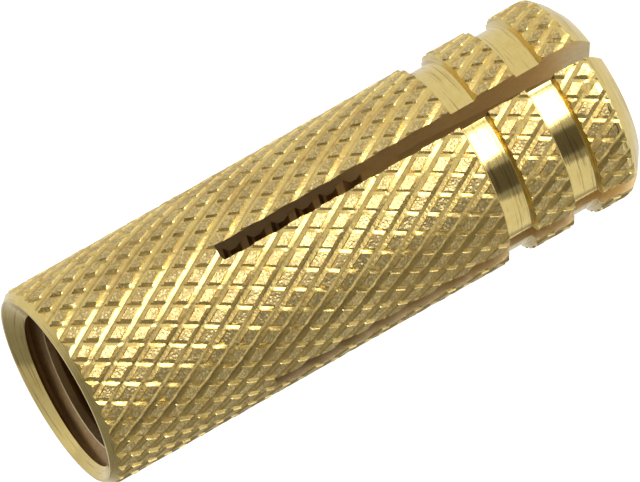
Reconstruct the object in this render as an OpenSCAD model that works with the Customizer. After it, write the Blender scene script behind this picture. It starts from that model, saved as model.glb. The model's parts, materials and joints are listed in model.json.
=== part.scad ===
// Brass expansion anchor: a turned, knurled sleeve that stands on its slit end,
// mouth up. A bolt driven into the mouth spreads the four leaves of the slit end.
// Origin: centre of the slit end face. +Z points out of the mouth. Millimetres.

/* [Bar] */
// Diameter over the tops of the knurl
bar_d = 9.7; // [9:0.1:11]
// Length from the slit end face to the rim of the mouth
length = 28; // [26:0.5:34]

/* [Knurl] */
// Grooves of each of the two crossing families, counted round the bar
knurl_starts = 30; // [24:1:32]
// Angle between a groove and the axis of the bar
knurl_angle = 30.5; // [28:1:38]
// Depth of the grooves below the diamond tops
knurl_depth = 0.19; // [0.1:0.01:0.24]
// Included angle of the V-shaped grooves
knurl_vee = 90; // [75:5:95]
// Turn of the knurl against the slits
knurl_turn = 7.2; // [0:0.2:12]
// Distance from the rim face down to the first full ring of groove crossings
knurl_lead = 0.06; // [0:0.02:0.8]

/* [Mouth] */
// Outside diameter of the rim, where the outer chamfer ends
rim_d = 9.04; // [8.8:0.02:9.2]
// Length of the outer chamfer along the axis
rim_chamfer = 0.4; // [0.2:0.05:0.8]
// Width of the flat face of the rim
rim_face = 0.15; // [0.1:0.05:0.2]
// Depth of the countersink that leads the bolt in
sink_depth = 0.74; // [0.5:0.02:1.2]

/* [Bore] */
// Bore that carries the thread, at its minor diameter
bore_d = 6.7; // [6.4:0.05:6.9]
// Bore at the slit end face
nose_d = 4.2; // [3.4:0.1:5]
// Length of the taper between the two, from the slit end face
taper_len = 8.6; // [6:0.2:12]

/* [Slits] */
// Width of the two crossing saw cuts
slit_w = 0.83; // [0.5:0.01:1.2]
// Length of the cuts from the slit end face, along the surface of the bar
slit_len = 19.6; // [16:0.2:22]
// Diameter of the saw blade, which leaves the closed end of each cut round
blade_d = 40; // [30:1:60]

/* [Ring grooves] */
// Diameter of the floor of both ring grooves
ring_d = 8.9; // [8.4:0.05:9.1]
// Width of a ring groove at the surface of the bar
ring_w = 1.5; // [1:0.05:1.8]
// How far each wall of a ring groove leans in towards the floor
ring_lean = 0.14; // [0.05:0.01:0.25]
// Middle of the ring groove nearer the slit end
ring_1_z = 3.3; // [2.8:0.1:3.6]
// Middle of the ring groove nearer the mouth
ring_2_z = 6.7; // [6:0.1:8]

/* [Slit end] */
// Diameter of the end face
tip_d = 7.32; // [6.6:0.02:8]
// Length of the end chamfer along the axis
tip_chamfer = 0.97; // [0.6:0.01:1.2]
// How far the chamfer bows out at its middle
tip_bow = 0.1; // [0.05:0.01:0.15]

/* [Hidden] */

bar_r = bar_d / 2;
rim_r = rim_d / 2;
sink_r = rim_r - rim_face;
bore_r = bore_d / 2;
nose_r = nose_d / 2;
ring_r = ring_d / 2;
tip_r = tip_d / 2;

// Cutters run past the faces that they open by this much
past = 0.5;
// The turned outline lies outside the knurl by this much where no tool has cut
clear_r = bar_r + past;

// One cell of the knurl is a diamond between four groove crossings:
// half its width as an angle, half its height along the axis
half_turn = 180 / knurl_starts;
half_rise = PI * bar_r / knurl_starts / tan(knurl_angle);
rows_to_rim = 2 * ceil((length + past) / (2 * half_rise)) + 2;
rows = rows_to_rim + 4;
first_z = length - knurl_lead - rows_to_rim * half_rise;

// The grooves leave a flat top whose diagonals are this share of the cell's
groove_pitch = 2 * PI * bar_r / knurl_starts * cos(knurl_angle);
top_share = 1 - 2 * knurl_depth * tan(knurl_vee / 2) / groove_pitch;
root_r = bar_r - knurl_depth;
// Where the four flanks of a cell would meet above its flat top
peak_r = root_r + knurl_depth / (1 - top_share);

$fn = 96;

// A point on the bar: radius, angle round the axis, height
function on_bar(r, a, z) = [r * cos(a), r * sin(a), z];

// Groove crossing i of row k; the rows are staggered by half a cell
function crossing(k, i) =
    on_bar(root_r, knurl_turn + (2 * i + k % 2) * half_turn, first_z + k * half_rise);
function crossing_id(k, i) = k * knurl_starts + i % knurl_starts;

// The peak of cell i of row k, above the bar
function peak(k, i) =
    on_bar(peak_r, knurl_turn + (2 * i + 1 + k % 2) * half_turn, first_z + k * half_rise);
function peak_id(k, i) = (rows + 1) * knurl_starts + (k - 1) * knurl_starts + i;

function cell_faces(k, i) =
    let (
        root = [
            crossing_id(k + 1, i + k % 2), crossing_id(k, i + 1),
            crossing_id(k - 1, i + k % 2), crossing_id(k, i)
        ]
    )
    [for (c = [0:3]) [root[c], root[(c + 1) % 4], peak_id(k, i)]];

// The whole bar with its knurl, longer than the anchor at both ends
module knurled_bar() {
    around = [0:knurl_starts - 1];
    inner_rows = [1:rows - 1];
    points = concat(
        [for (k = [0:rows], i = around) crossing(k, i)],
        [for (k = inner_rows, i = around) peak(k, i)]
    );
    cells = [for (k = inner_rows, i = around) each cell_faces(k, i)];
    low_edge = [for (i = around) [i, crossing_id(1, i), crossing_id(0, i + 1)]];
    high_edge = [
        for (i = around)
            [crossing_id(rows, i), crossing_id(rows, i + 1),
             crossing_id(rows - 1, i + rows % 2)]
    ];
    low_end = [[for (i = around) i]];
    high_end = [[for (i = around) crossing_id(rows, knurl_starts - 1 - i)]];
    polyhedron(points, concat(cells, low_edge, high_edge, low_end, high_end));
}

// One ring groove as steps of the outline, from its low edge to its high edge
function ring_steps(z) =
    let (
        half = ring_w / 2,
        wall = bar_r - ring_r,
        flare = half + ring_lean * (clear_r - bar_r) / wall
    )
    [[clear_r, z - flare], [ring_r, z - half + ring_lean],
     [ring_r, z + half - ring_lean], [clear_r, z + flare]];

// Everything that the lathe leaves: end chamfer, ring grooves, rim chamfer
module turned_outline() {
    bow = [(tip_r + bar_r) / 2 + tip_bow, tip_chamfer / 2];
    // the two chamfers carry on past the bar to the clear radius
    tip_run = (clear_r - bar_r) * (tip_chamfer - bow[1]) / (bar_r - bow[0]);
    rim_run = (clear_r - bar_r) * rim_chamfer / (bar_r - rim_r);
    rotate_extrude()
        polygon(concat(
            [[0, 0], [tip_r, 0], bow, [clear_r, tip_chamfer + tip_run]],
            ring_steps(ring_1_z),
            ring_steps(ring_2_z),
            [[clear_r, length - rim_chamfer - rim_run], [rim_r, length], [0, length]]
        ));
}

// Countersink, threaded stretch and taper, as one turned cutter
module bore() {
    sink_run = past * (sink_r - bore_r) / sink_depth;
    nose_run = past * (bore_r - nose_r) / taper_len;
    rotate_extrude()
        polygon([
            [0, -past], [nose_r - nose_run, -past], [bore_r, taper_len],
            [bore_r, length - sink_depth], [sink_r + sink_run, length + past],
            [0, length + past]
        ]);
}

// The saw blade at the end of its two cuts, which cross at right angles
module slits() {
    blade_r = blade_d / 2;
    reach = sqrt(pow(blade_r, 2) - pow(bar_r, 2));
    for (turn = [0, 90])
        rotate([90, 0, turn])
            translate([0, slit_len - reach, 0])
                cylinder(r = blade_r, h = slit_w, center = true, $fn = 4 * $fn);
}

module anchor_sleeve() {
    color("goldenrod")
        difference() {
            intersection() {
                knurled_bar();
                cylinder(r = bar_r, h = length);
                turned_outline();
            }
            bore();
            slits();
        }
}

anchor_sleeve();
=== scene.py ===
"""Brass expansion anchor: a knurled, turned, tapped and slit sleeve of one piece.

The sleeve is modelled in millimetres on the bench, the way it is made: the bar is knurled, its
outline is turned, the bore is drilled and tapped, and the four leaves are sawn. At the end it is
scaled to metres, where it takes the place of the frame's plain sleeve.
"""

import json
import math

import bpy
from mathutils import Matrix, Vector, noise


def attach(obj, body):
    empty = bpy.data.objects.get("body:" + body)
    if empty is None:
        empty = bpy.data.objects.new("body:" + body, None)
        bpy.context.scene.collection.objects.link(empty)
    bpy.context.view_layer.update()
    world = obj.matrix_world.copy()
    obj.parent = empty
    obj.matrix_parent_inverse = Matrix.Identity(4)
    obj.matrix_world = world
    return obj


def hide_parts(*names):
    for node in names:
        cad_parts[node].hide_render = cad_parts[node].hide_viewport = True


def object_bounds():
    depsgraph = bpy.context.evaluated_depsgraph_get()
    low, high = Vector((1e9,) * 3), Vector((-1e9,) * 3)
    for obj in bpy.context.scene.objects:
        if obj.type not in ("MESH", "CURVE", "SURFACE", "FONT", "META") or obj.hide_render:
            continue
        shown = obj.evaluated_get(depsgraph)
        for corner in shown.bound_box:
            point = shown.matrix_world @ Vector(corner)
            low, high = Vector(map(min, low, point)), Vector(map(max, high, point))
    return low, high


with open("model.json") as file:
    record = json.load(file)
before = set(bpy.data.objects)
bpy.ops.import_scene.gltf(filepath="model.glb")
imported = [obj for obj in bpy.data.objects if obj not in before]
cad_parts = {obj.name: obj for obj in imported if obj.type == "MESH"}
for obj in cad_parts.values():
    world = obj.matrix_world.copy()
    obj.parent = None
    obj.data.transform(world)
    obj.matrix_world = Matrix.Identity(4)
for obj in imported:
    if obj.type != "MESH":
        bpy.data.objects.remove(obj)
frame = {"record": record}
cad_low, cad_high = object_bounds()

# ---------------------------------------------------------------------------------------------
# Sizes of the part, in millimetres and radians
# ---------------------------------------------------------------------------------------------

MM = 0.001
THREAD = next(m for m in frame["record"]["mounts"] if m["name"] == "thread")
LENGTH = (cad_high.z - cad_low.z) / MM
BAR_R = (cad_high.x - cad_low.x) / 2 / MM

# Vertices this near a wanted place count as standing on it
NEAR = 0.01
# The knurl's sheet and the bore's body run this far past the faces of the bar
PAST_FACE = 0.5
# Blender's noise starts from the clock unless it is given a seed
NOISE_SEED = 1
# Edges softer than this shade as one surface
SMOOTH_ANGLE = math.radians(20)

# Knurl: the steep grooves run right through, the flat ones are shallower and stop at them
KNURL_STARTS = 30
KNURL_ANGLE = math.radians(30.5)
KNURL_DEPTH = 0.13
# Two grooves cross at this turn round the axis, this far under the mouth's face
KNURL_TURN = math.radians(7.2)
KNURL_LEAD = 0.06
CELL_W = 2 * math.pi * BAR_R / KNURL_STARTS
CELL_H = CELL_W / math.tan(KNURL_ANGLE)
CELL_SIDE = CELL_W * math.cos(KNURL_ANGLE)
# Half of a groove's section: distance from its middle, and share of its depth climbed there
GROOVE_SECTION = ((0, 0), (0.10, 0.25), (0.19, 0.48), (0.23, 1.0))
GROOVE_HALF = GROOVE_SECTION[-1][0]
CELL_STEPS = [distance for distance, share in GROOVE_SECTION] + [CELL_SIDE / 2]
# Each top is hollow by this much, and is told from a flank within this slack
TOP_DIP = 0.012
TOP_SLACK = 0.002
# Flat grooves, in the middle of the bar and at its ends: their depth, and their steep flank's
# width as a share of a steep groove's. The easy flank's share is the same all along.
CROSS_DEPTH = (0.078, 0.112)
CROSS_STEEP_FLANK = (0.43, 0.82)
CROSS_EASY_FLANK = 0.74
# Near the mouth the end's values hold for a length and then fade into the middle's, and at
# the tips they fade at once
MOUTH_END = 3
MOUTH_FADE = 7
TIP_FADE = 5
# Over this share of the knurl's height the tops' rims wander: waves in each millimetre and
# reach, slow and quick
CRUSHED_FROM = 0.5
SLOW_WAVES, SLOW_REACH = 4.3, 0.020
QUICK_WAVES, QUICK_REACH = 11, 0.022
# Rows of cells past the mouth, and rows by which the flat rims of the ends stand further out
SPARE_ROWS = 2
END_ROWS = 3

# Turned outline
LATHE_STEPS = 240
CLEAR_R = BAR_R + 0.6
RIM_R = 4.52
RIM_CHAMFER = 0.40
RING_R = 4.45
RING_HALF = 0.75
RING_LEAN = 0.14
RING_HEIGHTS = (3.3, 6.7)
TIP_R = 3.66
TIP_CHAMFER = 0.97
TIP_BOW = 0.1
# The end chamfer meets the bar just under the tops, and the tool then draws clear of it
SHOULDER_UNDER = 0.04
SHOULDER_OVER = 0.02
SHOULDER_RISE = 0.4
SHOULDER_CLEAR = 0.5
# Rounds that the tool's nose leaves
RING_ROUND = 0.05
TIP_ROUND = 0.1
BOW_ROUND = 1.2
SHOULDER_ROUND = 0.25
RIM_ROUND = 0.04

# Bore
BORE_R = THREAD["dims"]["r_mm"]
SINK_R = 4.37
SINK_DEPTH = 0.74
SINK_ROUND = 0.05
# The countersink's wall leans between these upright shares of its normal
SINK_LEAN = (0.6, 0.95)
# Its edge is broken from this far in and down on its wall to this far out on the rim
EDGE_IN = 0.02
EDGE_DOWN = 0.03
EDGE_OUT = 0.03
NOSE_R = 2.1
TAPER_LEN = 8.6
TAPER_ROUND = 2.0

# Thread
PITCH = 1.25
MAJOR_R = 4.0
CREST_FLAT = PITCH / 4
ROOT_FLAT = PITCH / 8
# The lower end of the thread, and the length over which it fades out
THREAD_LOW = 10.0
THREAD_LEAD = 1.8
# A crest stands at this turn round the axis, this far under the mouth's face
CREST_DEPTH = 1.365
CREST_TURN = math.radians(68.8)
THREAD_STEPS = 72
# The ridge's foot is sunk in the bore's body, and its crest sinks there where it fades out
FOOT_SUNK = 0.15
CREST_SUNK = 0.1

# Slits
SLIT_W = 0.83
SLIT_LEN = 19.6
BLADE_R = 20.0
BLADE_STEPS = 512
BLADE_Z = SLIT_LEN - math.sqrt(BLADE_R ** 2 - BAR_R ** 2)
# The leaves spring open by this much at their tips, along a curve of this power
LEAF_SPRING = 0.08
LEAF_BEND = 1.5
# Burr of the slits, outside a radius: waves in each millimetre, height and wander
BURR_FROM_R = RING_R - 0.02
BURR_WAVES = 7
BURR_HEIGHT = 0.04
BURR_WANDER = 0.01

# Finishes, in the order of the sleeve's material slots
GROOVES, TOPS, TURNED, BORED, SAWN = range(5)


# ---------------------------------------------------------------------------------------------
# Bench helpers
# ---------------------------------------------------------------------------------------------


def put_on_bench(name, data):
    """Makes a new object of the data and adds it to the scene."""
    thing = bpy.data.objects.new(name, data)
    bpy.context.scene.collection.objects.link(thing)
    return thing


def take(piece):
    """Makes one piece the active and only selected one."""
    for thing in bpy.context.selected_objects:
        thing.select_set(False)
    piece.select_set(True)
    bpy.context.view_layer.objects.active = piece


def edit(piece, mode="VERT", action="SELECT"):
    """Opens the piece's mesh with all of its parts selected, or with none."""
    take(piece)
    bpy.ops.object.mode_set(mode="EDIT")
    bpy.ops.mesh.select_mode(type=mode)
    bpy.ops.mesh.select_all(action=action)


def leave_edit():
    bpy.ops.object.mode_set(mode="OBJECT")


def apply_modifier(piece, kind, **settings):
    take(piece)
    modifier = piece.modifiers.new(kind.lower(), kind)
    for name, value in settings.items():
        setattr(modifier, name, value)
    bpy.ops.object.modifier_apply(modifier=modifier.name)


def set_finish(piece, finish):
    piece.data.polygons.foreach_set("material_index", [finish] * len(piece.data.polygons))


def merge_and_face_out(piece, distance=1e-4):
    """Welds vertices that coincide and turns every face outward."""
    edit(piece)
    bpy.ops.mesh.remove_doubles(threshold=distance)
    bpy.ops.mesh.normals_make_consistent(inside=False)
    leave_edit()


def cut(piece, tool, operation):
    """Machines the piece with a tool body, which is used up."""
    apply_modifier(piece, "BOOLEAN", object=tool, operation=operation, solver="MANIFOLD")
    bpy.data.objects.remove(tool)


# ---------------------------------------------------------------------------------------------
# The knurled bar
# ---------------------------------------------------------------------------------------------


def knurl_cell(finishes):
    """One diamond of the knurl, laid flat: X round the bar, Y along it, edges on the grooves."""
    splits = len(CELL_STEPS) - 1
    bpy.ops.mesh.primitive_grid_add(x_subdivisions=2 * splits, y_subdivisions=2 * splits, size=2)
    cell = bpy.context.active_object
    for finish in finishes:
        cell.data.materials.append(finish)
    for vertex in cell.data.vertices:
        steep = cell_step(vertex.co.x, splits)
        cross = cell_step(vertex.co.y, splits)
        vertex.co.x = (steep + cross) / (2 * math.cos(KNURL_ANGLE))
        vertex.co.y = (steep - cross) / (2 * math.sin(KNURL_ANGLE))
    return cell


def cell_step(share, splits):
    """Where a line of the cell's grid stands, across one family of grooves."""
    step = round((1 - abs(share)) * splits)
    return math.copysign(CELL_SIDE / 2 - CELL_STEPS[step], share)


def knurl_sheet(finishes):
    """Cells in staggered rows, enough to go once round the bar and past both of its ends."""
    sheet = knurl_cell(finishes)
    take(sheet)
    bpy.ops.object.duplicate()
    other = bpy.context.active_object
    other.location = (CELL_W / 2, CELL_H / 2, 0)
    sheet.select_set(True)
    bpy.context.view_layer.objects.active = sheet
    bpy.ops.object.join()
    low_rows = math.ceil((LENGTH - KNURL_LEAD + PAST_FACE) / CELL_H)
    for count, step in ((KNURL_STARTS, (CELL_W, 0, 0)), (low_rows + SPARE_ROWS, (0, CELL_H, 0))):
        apply_modifier(sheet, "ARRAY", count=count, use_relative_offset=False,
                       use_constant_offset=True, constant_offset_displace=step)
    first_y = LENGTH - KNURL_LEAD - low_rows * CELL_H
    for vertex in sheet.data.vertices:
        vertex.co.y += first_y
    return sheet


def groove_height(distance, depth, straight=False):
    """Height over the deepest floor, at a distance from the middle of a groove this deep.

    A straight flank climbs evenly, and any other follows the groove's section.
    """
    section = GROOVE_SECTION
    if straight:
        section = (section[0], section[-1])
    for (near, low), (far, high) in zip(section, section[1:]):
        if distance <= far:
            climbed = low + (high - low) * (distance - near) / (far - near)
            return KNURL_DEPTH - depth * (1 - climbed)
    return KNURL_DEPTH


def towards_end(height, middle_and_end):
    """Runs from the middle's value to the value near both ends of the bar."""
    middle, end = middle_and_end
    from_mouth = min(1, max(0, (LENGTH - height - MOUTH_END) / MOUTH_FADE))
    from_tip = min(1, max(0, height / TIP_FADE))
    return end + (middle - end) * from_mouth * from_tip


def narrowed(distance, share):
    """Draws a groove's section in to a share of its width, and the top out to meet it."""
    if distance <= GROOVE_HALF:
        return distance * share
    from_middle = (CELL_SIDE / 2 - distance) / (CELL_SIDE / 2 - GROOVE_HALF)
    return CELL_SIDE / 2 - from_middle * (CELL_SIDE / 2 - GROOVE_HALF * share)


def roll_grooves(sheet):
    """Presses both families of grooves into the flat sheet and tells tops from flanks."""
    steep_across = Vector((math.cos(KNURL_ANGLE), math.sin(KNURL_ANGLE), 0))
    cross_across = Vector((math.cos(KNURL_ANGLE), -math.sin(KNURL_ANGLE), 0))
    down_steep = Vector((-math.sin(KNURL_ANGLE), math.cos(KNURL_ANGLE), 0))
    down_steep /= down_steep.dot(cross_across)
    origin = Vector((CELL_W / 2, LENGTH - KNURL_LEAD, 0))
    for vertex in sheet.data.vertices:
        place = vertex.co - origin
        steep = abs(signed_distance(place, steep_across))
        off = signed_distance(place, cross_across)
        depth = towards_end(vertex.co.y, CROSS_DEPTH)
        width = CROSS_EASY_FLANK
        if off > 0:
            width = towards_end(vertex.co.y, CROSS_STEEP_FLANK)
        moved = narrowed(abs(off), width) - abs(off)
        vertex.co += down_steep * moved * math.copysign(1, off)
        steep_height = groove_height(steep, KNURL_DEPTH)
        cross_height = groove_height(abs(off), depth, off > 0)
        vertex.co.z = min(steep_height, cross_height)
        if min(steep, abs(off)) > CELL_SIDE / 2 - NEAR:
            vertex.co.z -= TOP_DIP
    for face in sheet.data.polygons:
        lowest = min(sheet.data.vertices[i].co.z for i in face.vertices)
        is_top = lowest > KNURL_DEPTH - TOP_DIP - TOP_SLACK
        face.material_index = TOPS if is_top else GROOVES


def signed_distance(place, across):
    """Distance from the nearest groove of the family that runs square to this direction."""
    turns = place.dot(across) / CELL_SIDE
    return (turns - round(turns)) * CELL_SIDE


def wrap_round_bar(sheet):
    """Rolls the sheet into a tube: X becomes the angle, Z the height above the groove floor."""
    root_r = BAR_R - KNURL_DEPTH
    for vertex in sheet.data.vertices:
        turn = KNURL_TURN + (vertex.co.x + CELL_W / 2) / BAR_R
        radius = root_r + vertex.co.z
        vertex.co = (radius * math.cos(turn), radius * math.sin(turn), vertex.co.y)


def crush_tops(bar):
    """The rolled tops are uneven, and their rims wander."""
    root_r = BAR_R - KNURL_DEPTH
    for vertex in bar.data.vertices:
        lift = (math.hypot(vertex.co.x, vertex.co.y) - root_r) / KNURL_DEPTH
        if lift > CRUSHED_FROM:
            slow = noise.noise_vector(vertex.co * SLOW_WAVES) * SLOW_REACH
            quick = noise.noise_vector(vertex.co * QUICK_WAVES) * QUICK_REACH
            vertex.co += (slow + quick) * lift


def close_ends(bar):
    """Draws each zigzag end out to a flat rim and fills it."""
    middle = LENGTH / 2
    for side in (-1, 1):
        edit(bar, "EDGE", "DESELECT")
        bpy.ops.mesh.select_non_manifold(extend=False, use_multi_face=False, use_verts=False)
        leave_edit()
        mesh = bar.data
        for edge in mesh.edges:
            height = sum(mesh.vertices[i].co.z for i in edge.vertices) / 2
            if (height - middle) * side < 0:
                edge.select = False
        bpy.ops.object.mode_set(mode="EDIT")
        bpy.ops.mesh.extrude_region_move()
        leave_edit()
        for vertex in mesh.vertices:
            if vertex.select:
                vertex.co.z = middle + side * (middle + END_ROWS * CELL_H)
        bpy.ops.object.mode_set(mode="EDIT")
        bpy.ops.mesh.edge_face_add()
        leave_edit()


def knurled_bar(finishes):
    bar = knurl_sheet(finishes)
    roll_grooves(bar)
    wrap_round_bar(bar)
    merge_and_face_out(bar)
    crush_tops(bar)
    close_ends(bar)
    return bar


# ---------------------------------------------------------------------------------------------
# Turned bodies
# ---------------------------------------------------------------------------------------------


def round_corners(corners, arc_steps=4):
    """Turns (radius, height, corner radius) points into an outline with round corners."""
    outline = []
    for i, (r, z, fillet) in enumerate(corners):
        here = Vector((r, z))
        if fillet == 0:
            outline.append(here)
            continue
        back = (Vector(corners[i - 1][:2]) - here).normalized()
        ahead = (Vector(corners[i + 1][:2]) - here).normalized()
        half = back.angle(ahead) / 2
        reach = fillet / math.tan(half)
        centre = here + (back + ahead).normalized() * fillet / math.sin(half)
        start = here + back * reach - centre
        sweep = start.angle_signed(here + ahead * reach - centre)
        for step in range(arc_steps + 1):
            turned = Matrix.Rotation(-sweep * step / arc_steps, 2) @ start
            outline.append(centre + turned)
    return outline


def lathe(name, corners, finish):
    """Spins an outline that starts and ends on the axis into a solid of revolution."""
    outline = round_corners(corners)
    mesh = bpy.data.meshes.new(name)
    points = [(p.x, 0, p.y) for p in outline]
    mesh.from_pydata(points, [(i, i + 1) for i in range(len(points) - 1)], [])
    body = put_on_bench(name, mesh)
    edit(body)
    bpy.ops.mesh.spin(steps=LATHE_STEPS, angle=2 * math.pi, center=(0, 0, 0), axis=(0, 0, 1))
    leave_edit()
    merge_and_face_out(body)
    set_finish(body, finish)
    return body


def ring_groove(height):
    """Outline of one ring groove, from its low edge to its high edge."""
    flare = RING_HALF + RING_LEAN * (CLEAR_R - BAR_R) / (BAR_R - RING_R)
    floor = RING_HALF - RING_LEAN
    return [(CLEAR_R, height - flare, 0), (RING_R, height - floor, RING_ROUND),
            (RING_R, height + floor, RING_ROUND), (CLEAR_R, height + flare, 0)]


def turned_blank():
    """All that the lathe leaves: end chamfer, ring grooves, rim chamfer and rim face."""
    bow_r = (TIP_R + BAR_R) / 2 + TIP_BOW
    rim_run = (CLEAR_R - BAR_R) * RIM_CHAMFER / (BAR_R - RIM_R)
    corners = [(0, 0, 0), (TIP_R, 0, TIP_ROUND), (bow_r, TIP_CHAMFER / 2, BOW_ROUND),
               (BAR_R - SHOULDER_UNDER, TIP_CHAMFER, SHOULDER_ROUND),
               (BAR_R + SHOULDER_OVER, TIP_CHAMFER + SHOULDER_RISE, 0),
               (CLEAR_R, TIP_CHAMFER + SHOULDER_CLEAR, 0)]
    for height in RING_HEIGHTS:
        corners += ring_groove(height)
    corners += [(CLEAR_R, LENGTH - RIM_CHAMFER - rim_run, 0), (RIM_R, LENGTH, RIM_ROUND),
                (0, LENGTH, 0)]
    return lathe("blank", corners, TURNED)


# ---------------------------------------------------------------------------------------------
# Bore and thread
# ---------------------------------------------------------------------------------------------


def thread_ridge():
    """The tap's helical ridge, which fades out where its lead stopped."""
    start_z = LENGTH - CREST_DEPTH + PITCH / 2 - PITCH * CREST_TURN / (2 * math.pi)
    start_z -= PITCH * math.ceil((start_z - THREAD_LOW) / PITCH)
    turns = math.ceil((LENGTH + PITCH - start_z) / PITCH)
    section = [(BORE_R - FOOT_SUNK, PITCH - CREST_FLAT), (BORE_R, PITCH - CREST_FLAT),
               (MAJOR_R, ROOT_FLAT)]
    low = [(r, 0, start_z - width / 2) for r, width in section]
    high = [(r, 0, start_z + width / 2) for r, width in reversed(section)]
    sides = len(low + high)
    mesh = bpy.data.meshes.new("ridge")
    mesh.from_pydata(low + high, [(i, (i + 1) % sides) for i in range(sides)], [])
    ridge = put_on_bench("ridge", mesh)
    apply_modifier(ridge, "SCREW", axis="Z", angle=2 * math.pi, screw_offset=PITCH,
                   iterations=turns, steps=THREAD_STEPS, render_steps=THREAD_STEPS)
    for vertex in ridge.data.vertices:
        radius = math.hypot(vertex.co.x, vertex.co.y)
        share = (vertex.co.z - THREAD_LOW) / THREAD_LEAD
        limit = BORE_R - CREST_SUNK + max(0, min(1, share)) * (MAJOR_R - BORE_R + CREST_SUNK)
        if radius > limit:
            vertex.co.xy *= limit / radius
    edit(ridge, "EDGE")
    bpy.ops.mesh.fill_holes(sides=sides)
    leave_edit()
    merge_and_face_out(ridge)
    set_finish(ridge, BORED)
    return ridge


def bore_tool():
    """Countersink, tapped bore and taper, as one body to take away."""
    sink_run = PAST_FACE * (SINK_R - BORE_R) / SINK_DEPTH
    nose_run = PAST_FACE * (BORE_R - NOSE_R) / TAPER_LEN
    corners = [(0, -PAST_FACE, 0), (NOSE_R - nose_run, -PAST_FACE, 0),
               (BORE_R, TAPER_LEN, TAPER_ROUND), (BORE_R, LENGTH - SINK_DEPTH, SINK_ROUND),
               (SINK_R - EDGE_IN, LENGTH - EDGE_DOWN, 0), (SINK_R + EDGE_OUT, LENGTH, 0),
               (SINK_R + sink_run, LENGTH + PAST_FACE, 0), (0, LENGTH + PAST_FACE, 0)]
    tool = lathe("bore", corners, BORED)
    cut(tool, thread_ridge(), "UNION")
    for face in tool.data.polygons:
        leans = SINK_LEAN[0] < abs(face.normal.z) < SINK_LEAN[1]
        if leans and face.center.z > LENGTH - SINK_DEPTH:
            face.material_index = TURNED
    return tool


# ---------------------------------------------------------------------------------------------
# Slits
# ---------------------------------------------------------------------------------------------


def saw_blade(turn):
    """The blade where it stopped: its disc stands on edge and cuts right across the bar."""
    bpy.ops.mesh.primitive_cylinder_add(vertices=BLADE_STEPS, radius=BLADE_R, depth=SLIT_W,
                                        end_fill_type="NGON", location=(0, 0, BLADE_Z),
                                        rotation=(math.pi / 2, 0, turn))
    blade = bpy.context.active_object
    take(blade)
    bpy.ops.object.transform_apply(location=True, rotation=True, scale=True)
    set_finish(blade, SAWN)
    return blade


def raise_burr(sleeve):
    """The saw leaves a ragged lip along both edges of each slit."""
    for vertex in sleeve.data.vertices:
        x, y, z = vertex.co
        gap = min(abs(x), abs(y)) - SLIT_W / 2
        radius = math.hypot(x, y)
        if gap < NEAR and z < SLIT_LEN + NEAR and radius > BURR_FROM_R:
            wander = noise.noise_vector(vertex.co * BURR_WAVES)
            vertex.co += Vector((x, y, 0)).normalized() * abs(wander.z) * BURR_HEIGHT
            vertex.co += wander * BURR_WANDER


def spring_leaves(sleeve):
    """Once they are sawn, the four leaves stand a little open."""
    for vertex in sleeve.data.vertices:
        x, y, z = vertex.co
        share = max(0, (SLIT_LEN - z) / SLIT_LEN)
        out = Vector((math.copysign(1, x), math.copysign(1, y), 0)).normalized()
        vertex.co += out * LEAF_SPRING * share ** LEAF_BEND


# ---------------------------------------------------------------------------------------------
# The sleeve
# ---------------------------------------------------------------------------------------------


def make_sleeve(finishes):
    """Knurls the bar, turns, bores, taps and saws it, and scales it to metres."""
    noise.seed_set(NOISE_SEED)
    sleeve = knurled_bar(finishes)
    sleeve.name = sleeve.data.name = "knurled_sleeve"
    cut(sleeve, turned_blank(), "INTERSECT")
    cut(sleeve, bore_tool(), "DIFFERENCE")
    for turn in (0, math.pi / 2):
        cut(sleeve, saw_blade(turn), "DIFFERENCE")
    raise_burr(sleeve)
    spring_leaves(sleeve)
    edit(sleeve)
    bpy.ops.transform.resize(value=(MM, MM, MM), center_override=(0, 0, 0))
    leave_edit()
    take(sleeve)
    bpy.ops.object.shade_smooth_by_angle(angle=SMOOTH_ANGLE)
    return sleeve


# ---------------------------------------------------------------------------------------------
# Finishes: effects that vary over the metal
# ---------------------------------------------------------------------------------------------

BRASS = (0.82, 0.62, 0.22, 1)
BRASS_DULL = (0.60, 0.42, 0.14, 1)
TOP_CLEAN = (0.84, 0.66, 0.28, 1)
TOP_DULL = (0.64, 0.48, 0.19, 1)
TURNED_CLEAN = (0.86, 0.68, 0.27, 1)
TURNED_DULL = (0.76, 0.56, 0.17, 1)
TURNED_SCORED = (0.46, 0.32, 0.12, 1)
# The bore's brass is darkened as painted shade inside the hole
SHADED_BORE_CLEAN = (0.56, 0.38, 0.18, 1)
SHADED_BORE_DULL = (0.34, 0.22, 0.11, 1)
# Paler brass for the painted highlight on the thread crests
CREST_HIGHLIGHT = (0.90, 0.72, 0.42, 1)
SAWN_CLEAN = (0.95, 0.80, 0.48, 1)
SAWN_DULL = (0.84, 0.66, 0.36, 1)
# Deep brown for the dirt in the tops' craters and for the painted shade in groove floors and slit
# walls
DIRT_AND_SHADE_BROWN = (0.10, 0.06, 0.035, 1)

# Depth of each finish's relief, in metres
GROOVE_RELIEF = 6e-6
TOP_RELIEF = 1.7e-5
TURNED_RELIEF = 1.4e-5
BORED_RELIEF = 8e-6
SAWN_RELIEF = 1e-5

# The level that a noise runs about
MIDDLE_LEVEL = 0.5
# Tarnish: its clouds in each metre, their share against the finer grain, which is rougher
CLOUDS = 320.0
CLOUD_SHARE, GRAIN_SHARE = 0.45, 0.55
FINE_ROUGHNESS = 0.65
# Speckle: the craters' size against the crumbs', the distances over which they rise, and their
# part in the relief and in the dirt, which darkens between two levels
CRATER_SIZE = 0.8
CRATER_FROM, CRATER_TO = 0.1, 0.6
CRATER_RELIEF = 0.5
CRATER_DIRT = 0.2
DIRT_FROM, DIRT_TO = 0.44, 0.30
# Waves in each radian along a turning line
TURNING_WAVES = 1.5
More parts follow.
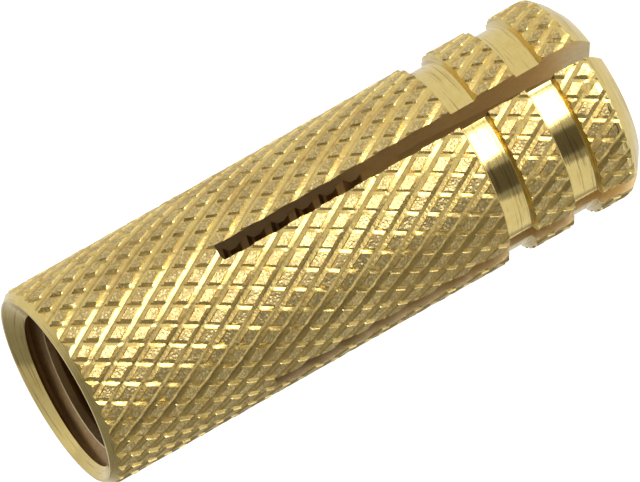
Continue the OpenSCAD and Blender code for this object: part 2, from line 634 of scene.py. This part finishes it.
# Painted shade in the groove floors: height in metres over which it thins out, and its share
GROOVE_SHADE_HEIGHT = 4e-5
GROOVE_SHADE_SHARE = 0.35
# Dirt in the tops' craters
DIRT_SHARE = 0.35
# Scored turning lines: levels of the lines between which they darken, and their share
SCORE_FROM, SCORE_TO = 0.46, 0.34
SCORE_SHARE = 0.7
# Painted highlight on the thread crests: heights over the bore's wall, in millimetres, and share
CREST_HIGHLIGHT_FADE, CREST_HIGHLIGHT_FULL = 0.08, 0.02
CREST_HIGHLIGHT_SHARE = 0.8
# Painted shade on the slit walls: they turn brown between these heights, in metres, up to this
# share
SLIT_SHADE_FROM, SLIT_SHADE_TO = 0.006, 0.016
SLIT_SHADE_SHARE = 0.15
# Saw arcs: lines in each metre out from the arbor, and waves in each radian along them
SAW_LINES = 9000.0
SAW_WAVES = 25.0


def wire(tree, value, socket):
    """Links an output to the socket, or sets a plain value on the socket itself."""
    if isinstance(value, bpy.types.NodeSocket):
        tree.links.new(value, socket)
    else:
        socket.default_value = value


def maths(tree, operation, *values):
    node = tree.nodes.new("ShaderNodeMath")
    node.operation = operation
    for value, socket in zip(values, node.inputs):
        wire(tree, value, socket)
    return node.outputs[0]


def ramp(tree, value, low, high, low_value=0.0, high_value=1.0):
    """Runs smoothly from the low value to the high value between two levels of the input."""
    node = tree.nodes.new("ShaderNodeMapRange")
    node.interpolation_type = "SMOOTHSTEP"
    for name, each in (("Value", value), ("From Min", low), ("From Max", high),
                       ("To Min", low_value), ("To Max", high_value)):
        wire(tree, each, node.inputs[name])
    return node.outputs["Result"]


def blend(tree, share, first, second):
    node = tree.nodes.new("ShaderNodeMix")
    node.data_type = "RGBA"
    wire(tree, share, node.inputs["Factor"])
    wire(tree, first, node.inputs["A"])
    wire(tree, second, node.inputs["B"])
    return node.outputs["Result"]


def grain(tree, place, scale, detail=3.0, roughness=0.6):
    node = tree.nodes.new("ShaderNodeTexNoise")
    wire(tree, place, node.inputs["Vector"])
    wire(tree, scale, node.inputs["Scale"])
    wire(tree, detail, node.inputs["Detail"])
    wire(tree, roughness, node.inputs["Roughness"])
    return node.outputs["Fac"]


def point(tree, x, y, z):
    node = tree.nodes.new("ShaderNodeCombineXYZ")
    for value, socket in zip((x, y, z), node.inputs):
        wire(tree, value, socket)
    return node.outputs[0]


def spot(tree):
    """The shaded spot on the sleeve, in metres."""
    return tree.nodes.new("ShaderNodeTexCoord").outputs["Object"]


def axes(tree):
    """The x, y and z of the shaded spot."""
    split = tree.nodes.new("ShaderNodeSeparateXYZ")
    wire(tree, spot(tree), split.inputs[0])
    return split.outputs[:]


def radius_of(tree, x, y):
    return maths(tree, "SQRT", maths(tree, "ADD", maths(tree, "MULTIPLY", x, x),
                                     maths(tree, "MULTIPLY", y, y)))


def effect(name, inputs, outputs):
    """A node group with named sockets; gives the tree, its inputs and its output node."""
    tree = bpy.data.node_groups.new(name, "ShaderNodeTree")
    for label, kind, value in inputs:
        socket = tree.interface.new_socket(label, in_out="INPUT", socket_type="NodeSocket" + kind)
        socket.default_value = value
    for label, kind in outputs:
        tree.interface.new_socket(label, in_out="OUTPUT", socket_type="NodeSocket" + kind)
    given = tree.nodes.new("NodeGroupInput").outputs
    return tree, given, tree.nodes.new("NodeGroupOutput").inputs


def tarnish_effect():
    """Patches of duller metal: broad clouds broken up by a finer grain."""
    tree, given, result = effect("tarnish", [
        ("Clean", "Color", BRASS), ("Dull", "Color", BRASS), ("Clean Roughness", "Float", 0.2),
        ("Dull Roughness", "Float", 0.4), ("Grain", "Float", 4000.0), ("Share", "Float", 0.5),
        ("Softness", "Float", 0.1)],
        [("Color", "Color"), ("Roughness", "Float")])
    place = spot(tree)
    clouds = grain(tree, place, CLOUDS)
    fine = grain(tree, place, given["Grain"], roughness=FINE_ROUGHNESS)
    mixed = maths(tree, "ADD", maths(tree, "MULTIPLY", clouds, CLOUD_SHARE),
                  maths(tree, "MULTIPLY", fine, GRAIN_SHARE))
    level = maths(tree, "ADD", mixed, maths(tree, "SUBTRACT", given["Share"], MIDDLE_LEVEL))
    mask = ramp(tree, level, maths(tree, "SUBTRACT", MIDDLE_LEVEL, given["Softness"]),
                maths(tree, "ADD", MIDDLE_LEVEL, given["Softness"]))
    wire(tree, blend(tree, mask, given["Clean"], given["Dull"]), result["Color"])
    span = maths(tree, "SUBTRACT", given["Dull Roughness"], given["Clean Roughness"])
    roughness = maths(tree, "MULTIPLY_ADD", span, mask, given["Clean Roughness"])
    wire(tree, roughness, result["Roughness"])
    return tree


def speckle_effect():
    """Small craters and crumbs, as rolled and crushed metal has."""
    tree, given, result = effect("speckle", [("Size", "Float", 9000.0)],
                                 [("Height", "Float"), ("Crater", "Float")])
    place = spot(tree)
    crumbs = grain(tree, place, given["Size"])
    holes = tree.nodes.new("ShaderNodeTexVoronoi")
    wire(tree, place, holes.inputs["Vector"])
    wire(tree, maths(tree, "MULTIPLY", given["Size"], CRATER_SIZE), holes.inputs["Scale"])
    bowl = ramp(tree, holes.outputs["Distance"], CRATER_FROM, CRATER_TO)
    wire(tree, maths(tree, "MULTIPLY_ADD", bowl, CRATER_RELIEF, crumbs), result["Height"])
    level = maths(tree, "SUBTRACT", crumbs, maths(tree, "MULTIPLY", bowl, CRATER_DIRT))
    wire(tree, ramp(tree, level, DIRT_FROM, DIRT_TO), result["Crater"])
    return tree


def turning_effect():
    """Fine rings that a tool or a tap leaves round the axis, as a helix where it has a lead."""
    tree, given, result = effect(
        "turning_lines", [("Lines", "Float", 12000.0), ("Lead", "Float", 0.0)],
        [("Height", "Float")])
    x, y, z = axes(tree)
    radius = radius_of(tree, x, y)
    turn = maths(tree, "ARCTAN2", y, x)
    lead_per_turn = maths(tree, "DIVIDE", given["Lead"], -2 * math.pi)
    along = maths(tree, "MULTIPLY_ADD", turn, lead_per_turn, z)
    rings = point(tree, maths(tree, "MULTIPLY", radius, given["Lines"]),
                  maths(tree, "MULTIPLY", along, given["Lines"]),
                  maths(tree, "MULTIPLY", turn, TURNING_WAVES))
    wire(tree, grain(tree, rings, 1.0), result["Height"])
    return tree


# ---------------------------------------------------------------------------------------------
# Finishes: the five materials of the sleeve
# ---------------------------------------------------------------------------------------------


def plain_finish(name):
    """A new metal, with its tree and its shader."""
    finish = bpy.data.materials.new(name)
    finish.use_nodes = True
    shader = finish.node_tree.nodes["Principled BSDF"]
    shader.inputs["Metallic"].default_value = 1
    return finish, finish.node_tree, shader


def use_effect(tree, effect_tree, **values):
    """Adds an effect's group and sets its inputs; an underscore stands for a space."""
    node = tree.nodes.new("ShaderNodeGroup")
    node.node_tree = effect_tree
    for name, value in values.items():
        wire(tree, value, node.inputs[name.replace("_", " ")])
    return node.outputs


def press_in(tree, shader, height, depth):
    """Turns a height into relief; the depth is in metres."""
    bump = tree.nodes.new("ShaderNodeBump")
    bump.inputs["Distance"].default_value = depth
    wire(tree, height, bump.inputs["Height"])
    wire(tree, bump.outputs["Normal"], shader.inputs["Normal"])


def rolled_grooves(tarnish, speckle):
    """Burnished flanks, with a dark line of painted shade in the very floor."""
    finish, tree, shader = plain_finish("rolled_grooves")
    tone = use_effect(tree, tarnish, Clean=BRASS, Dull=BRASS_DULL, Clean_Roughness=0.26,
                      Dull_Roughness=0.40, Grain=3500.0, Share=0.45)
    x, y = axes(tree)[:2]
    floor_r = (BAR_R - KNURL_DEPTH) * MM
    # Painted shade: the brass turns deep brown towards the very floor of the grooves
    deep = ramp(tree, radius_of(tree, x, y), floor_r + GROOVE_SHADE_HEIGHT, floor_r, 0.0, GROOVE_SHADE_SHARE)
    wire(tree, blend(tree, deep, tone["Color"], DIRT_AND_SHADE_BROWN), shader.inputs["Base Color"])
    wire(tree, tone["Roughness"], shader.inputs["Roughness"])
    press_in(tree, shader, use_effect(tree, speckle, Size=6500.0)["Height"], GROOVE_RELIEF)
    return finish


def crushed_tops(tarnish, speckle):
    """The bar's own skin, crushed between the grooves: pitted, dull and speckled."""
    finish, tree, shader = plain_finish("crushed_tops")
    tone = use_effect(tree, tarnish, Clean=TOP_CLEAN, Dull=TOP_DULL, Clean_Roughness=0.32,
                      Dull_Roughness=0.50, Grain=8000.0, Share=0.50)
    relief = use_effect(tree, speckle, Size=9000.0)
    pits = maths(tree, "MULTIPLY", relief["Crater"], DIRT_SHARE)
    wire(tree, blend(tree, pits, tone["Color"], DIRT_AND_SHADE_BROWN), shader.inputs["Base Color"])
    wire(tree, tone["Roughness"], shader.inputs["Roughness"])
    press_in(tree, shader, relief["Height"], TOP_RELIEF)
    return finish


def turned_brass(tarnish, turning):
    """Bright tool-turned faces: the ring grooves, the chamfers and the countersink."""
    finish, tree, shader = plain_finish("turned_brass")
    tone = use_effect(tree, tarnish, Clean=TURNED_CLEAN, Dull=TURNED_DULL, Clean_Roughness=0.10,
                      Dull_Roughness=0.2, Grain=2200.0, Share=0.42, Softness=0.25)
    lines = use_effect(tree, turning, Lines=8000.0)["Height"]
    scored = ramp(tree, lines, SCORE_FROM, SCORE_TO, 0.0, SCORE_SHARE)
    wire(tree, blend(tree, scored, tone["Color"], TURNED_SCORED), shader.inputs["Base Color"])
    wire(tree, tone["Roughness"], shader.inputs["Roughness"])
    press_in(tree, shader, lines, TURNED_RELIEF)
    return finish


def bored_brass(tarnish, turning):
    """The tapped bore, its brass darkened as painted shade and streaked by the tap."""
    finish, tree, shader = plain_finish("bored_brass")
    tone = use_effect(tree, tarnish, Clean=SHADED_BORE_CLEAN, Dull=SHADED_BORE_DULL, Clean_Roughness=0.3,
                      Dull_Roughness=0.5, Grain=2600.0, Share=0.5, Softness=0.3)
    x, y = axes(tree)[:2]
    # Painted highlight: paler brass on the thread crests
    crest = ramp(tree, radius_of(tree, x, y), (BORE_R + CREST_HIGHLIGHT_FADE) * MM,
                 (BORE_R + CREST_HIGHLIGHT_FULL) * MM, 0.0, CREST_HIGHLIGHT_SHARE)
    wire(tree, blend(tree, crest, tone["Color"], CREST_HIGHLIGHT), shader.inputs["Base Color"])
    wire(tree, tone["Roughness"], shader.inputs["Roughness"])
    lines = use_effect(tree, turning, Lines=9000.0, Lead=PITCH * MM)["Height"]
    press_in(tree, shader, lines, BORED_RELIEF)
    return finish


def sawn_brass(tarnish):
    """Slit walls: the arcs of the saw, turning brown with painted shade further in from the open
    end.
    """
    finish, tree, shader = plain_finish("sawn_brass")
    tone = use_effect(tree, tarnish, Clean=SAWN_CLEAN, Dull=SAWN_DULL, Clean_Roughness=0.3,
                      Dull_Roughness=0.45, Grain=3000.0, Share=0.5, Softness=0.25)
    x, y, z = axes(tree)
    # Painted shade: the walls turn brown further in, between the leaves
    inner = ramp(tree, z, SLIT_SHADE_FROM, SLIT_SHADE_TO, 0.0, SLIT_SHADE_SHARE)
    wire(tree, blend(tree, inner, tone["Color"], DIRT_AND_SHADE_BROWN), shader.inputs["Base Color"])
    wire(tree, tone["Roughness"], shader.inputs["Roughness"])
    across = maths(tree, "MAXIMUM", maths(tree, "ABSOLUTE", x), maths(tree, "ABSOLUTE", y))
    along = maths(tree, "SUBTRACT", z, BLADE_Z * MM)
    from_arbor = radius_of(tree, across, along)
    turn = maths(tree, "ARCTAN2", along, across)
    arcs = point(tree, maths(tree, "MULTIPLY", from_arbor, SAW_LINES),
                 maths(tree, "MULTIPLY", turn, SAW_WAVES), 0.0)
    press_in(tree, shader, grain(tree, arcs, 1.0), SAWN_RELIEF)
    return finish


def make_finishes():
    """The finishes in the order of the sleeve's material slots."""
    tarnish = tarnish_effect()
    speckle = speckle_effect()
    turning = turning_effect()
    return [rolled_grooves(tarnish, speckle), crushed_tops(tarnish, speckle),
            turned_brass(tarnish, turning), bored_brass(tarnish, turning), sawn_brass(tarnish)]


# ---------------------------------------------------------------------------------------------
# Camera, floor and light
# ---------------------------------------------------------------------------------------------

PICTURE_W, PICTURE_H = 640, 482
PIXELS_PER_MM = 22.85
MOUTH_PIXEL = (55.45, 391.44)
VIEW_TURN = math.radians(-21.2)
VIEW_RISE = math.radians(14.1)
VIEW_ROLL = math.radians(-119.52)
LENS = 1100
SENSOR = 36
CLIP_END = 3

MIDDLE = Vector((0, 0, LENGTH * MM / 2))
LAMP_DISTANCE = 0.6
CARD_DISTANCE = 0.4
FLOOR_SIZE = 4
FLOOR_PALE = (0.9, 0.9, 0.9, 1)
FLOOR_GLOW = 0.85

# The room's level runs from low to high along this direction of the picture
ROOM_UP = (0.1, 0.94, -0.3)
ROOM_FROM, ROOM_TO = -0.8, 0.45
ROOM_LOW, ROOM_HIGH = 0.24, 0.80

# Name, direction (right, up and back of the camera), width and height in degrees, level
SOFTBOXES = [
    ("key_softbox", (0.52, 0.385, 0.76), 35, 46, 4.3),
    ("side_softbox", (0.99, 0.02, -0.04), 30, 30, 0.7),
    ("top_softbox", (0.49, 0.86, -0.10), 34, 34, 0.35),
    ("left_softbox", (-0.86, -0.40, 0.0), 44, 44, 0.22),
    ("low_softbox", (0.70, -0.69, -0.10), 50, 24, 0.5),
]
# Name, direction (right, up and back of the camera), width and height in degrees, shade
DARK_CARDS = [
    ("dark_card", (0.67, -0.33, 0.66), 31, 44, (0.10, 0.09, 0.08)),
    ("lens_card", (0.11, -0.08, 0.99), 46, 18, (0.26, 0.24, 0.22)),
    ("mouth_card", (-0.36, 0.22, 0.91), 72, 30, (0.10, 0.09, 0.08)),
]


def view_axes():
    """Right, up and back of the camera, as world directions."""
    back = Vector((math.sin(VIEW_TURN) * math.cos(VIEW_RISE),
                   -math.cos(VIEW_TURN) * math.cos(VIEW_RISE), math.sin(VIEW_RISE)))
    level = Vector((math.cos(VIEW_TURN), math.sin(VIEW_TURN), 0))
    rise = back.cross(level)
    right = math.cos(VIEW_ROLL) * level + math.sin(VIEW_ROLL) * rise
    up = math.cos(VIEW_ROLL) * rise - math.sin(VIEW_ROLL) * level
    return right, up, back


def make_camera():
    """Looks at the mouth end from above, turned so that the sleeve lies across the picture."""
    data = bpy.data.cameras.new("camera")
    data.lens = LENS
    data.sensor_width = SENSOR
    data.clip_end = CLIP_END
    camera = put_on_bench("camera", data)
    right, up, back = view_axes()
    pixel = MM / PIXELS_PER_MM
    distance = PICTURE_W * pixel * LENS / SENSOR
    mouth = Vector((0, 0, LENGTH * MM))
    aim = mouth + right * (PICTURE_W / 2 - MOUTH_PIXEL[0]) * pixel
    aim += up * (MOUTH_PIXEL[1] - PICTURE_H / 2) * pixel
    turn = Matrix((right, up, back)).transposed().to_4x4()
    camera.matrix_world = Matrix.Translation(aim + back * distance) @ turn
    bpy.context.scene.camera = camera


def picture_direction(rightward, upward, backward):
    """A direction given as the camera sees it: right, up and towards the camera."""
    right, up, back = view_axes()
    return (right * rightward + up * upward + back * backward).normalized()


def facing_middle(direction, distance):
    """A place out in that direction, turned so that its face looks at the middle of the sleeve."""
    turn = (-direction).to_track_quat("-Z", "Y").to_matrix().to_4x4()
    return Matrix.Translation(MIDDLE + direction * distance) @ turn


def panel_side(angle, distance):
    """Length of a panel's side that fills this many degrees at this distance."""
    return 2 * distance * math.tan(math.radians(angle) / 2)


def softbox(name, direction, across, along, level):
    """A panel lamp: its width and height as angles seen from the sleeve, its level as radiance."""
    width = panel_side(across, LAMP_DISTANCE)
    height = panel_side(along, LAMP_DISTANCE)
    data = bpy.data.lights.new(name, "AREA")
    data.shape = "RECTANGLE"
    data.size = width
    data.size_y = height
    data.energy = level * math.pi * width * height
    lamp = put_on_bench(name, data)
    lamp.matrix_world = facing_middle(picture_direction(*direction), LAMP_DISTANCE)
    lamp.visible_camera = False


def dark_card(name, direction, across, along, shade):
    """A card that only reflections see, as a photographer stands one beside bright metal."""
    bpy.ops.mesh.primitive_plane_add(size=1)
    card = bpy.context.active_object
    card.name = name
    width = panel_side(across, CARD_DISTANCE)
    height = panel_side(along, CARD_DISTANCE)
    place = facing_middle(picture_direction(*direction), CARD_DISTANCE)
    card.matrix_world = place @ Matrix.Diagonal((width, height, 1, 1))
    paint = bpy.data.materials.new(name)
    paint.use_nodes = True
    nodes = paint.node_tree.nodes
    nodes.remove(nodes["Principled BSDF"])
    glow = nodes.new("ShaderNodeEmission")
    glow.inputs["Color"].default_value = (*shade, 1)
    glow.inputs["Strength"].default_value = 1
    paint.node_tree.links.new(glow.outputs[0], nodes["Material Output"].inputs["Surface"])
    card.data.materials.append(paint)
    card.visible_camera = False
    card.visible_diffuse = False
    card.visible_shadow = False


def make_floor():
    """A pale floor that stays white where nothing shades it."""
    bpy.ops.mesh.primitive_plane_add(size=FLOOR_SIZE)
    floor = bpy.context.active_object
    floor.name = "floor"
    paint = bpy.data.materials.new("floor")
    paint.use_nodes = True
    nodes, links = paint.node_tree.nodes, paint.node_tree.links
    nodes.remove(nodes["Principled BSDF"])
    pale = nodes.new("ShaderNodeBsdfDiffuse")
    pale.inputs["Color"].default_value = FLOOR_PALE
    glow = nodes.new("ShaderNodeEmission")
    path = nodes.new("ShaderNodeLightPath")
    share = nodes.new("ShaderNodeMath")
    share.operation = "MULTIPLY"
    share.inputs[1].default_value = FLOOR_GLOW
    both = nodes.new("ShaderNodeAddShader")
    links.new(path.outputs["Is Camera Ray"], share.inputs[0])
    links.new(share.outputs[0], glow.inputs["Strength"])
    links.new(pale.outputs[0], both.inputs[0])
    links.new(glow.outputs[0], both.inputs[1])
    links.new(both.outputs[0], nodes["Material Output"].inputs["Surface"])
    floor.data.materials.append(paint)
    floor.visible_glossy = False
    floor.visible_shadow = False


def make_world():
    """White to the camera; in reflections it runs from dim below the picture to pale above it."""
    world = bpy.data.worlds.new("studio")
    bpy.context.scene.world = world
    world.use_nodes = True
    nodes, links = world.node_tree.nodes, world.node_tree.links
    nodes["Background"].inputs["Color"].default_value = (1, 1, 1, 1)
    place = nodes.new("ShaderNodeTexCoord")
    height = nodes.new("ShaderNodeVectorMath")
    height.operation = "DOT_PRODUCT"
    height.inputs[1].default_value = picture_direction(*ROOM_UP)
    shade = nodes.new("ShaderNodeMapRange")
    shade.interpolation_type = "SMOOTHSTEP"
    shade.inputs["From Min"].default_value = ROOM_FROM
    shade.inputs["From Max"].default_value = ROOM_TO
    shade.inputs["To Min"].default_value = ROOM_LOW
    shade.inputs["To Max"].default_value = ROOM_HIGH
    path = nodes.new("ShaderNodeLightPath")
    level = nodes.new("ShaderNodeMath")
    level.operation = "MAXIMUM"
    links.new(place.outputs["Generated"], height.inputs[0])
    links.new(height.outputs["Value"], shade.inputs["Value"])
    links.new(shade.outputs["Result"], level.inputs[0])
    links.new(path.outputs["Is Camera Ray"], level.inputs[1])
    links.new(level.outputs[0], nodes["Background"].inputs["Strength"])


def make_stage():
    """All that stands round the sleeve."""
    make_floor()
    make_world()
    for lamp in SOFTBOXES:
        softbox(*lamp)
    for card in DARK_CARDS:
        dark_card(*card)


# ---------------------------------------------------------------------------------------------
# Put together
# ---------------------------------------------------------------------------------------------

bpy.context.scene.view_settings.view_transform = "Standard"
make_camera()
sleeve = make_sleeve(make_finishes())
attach(sleeve, "root")
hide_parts("anchor_sleeve")
make_stage()
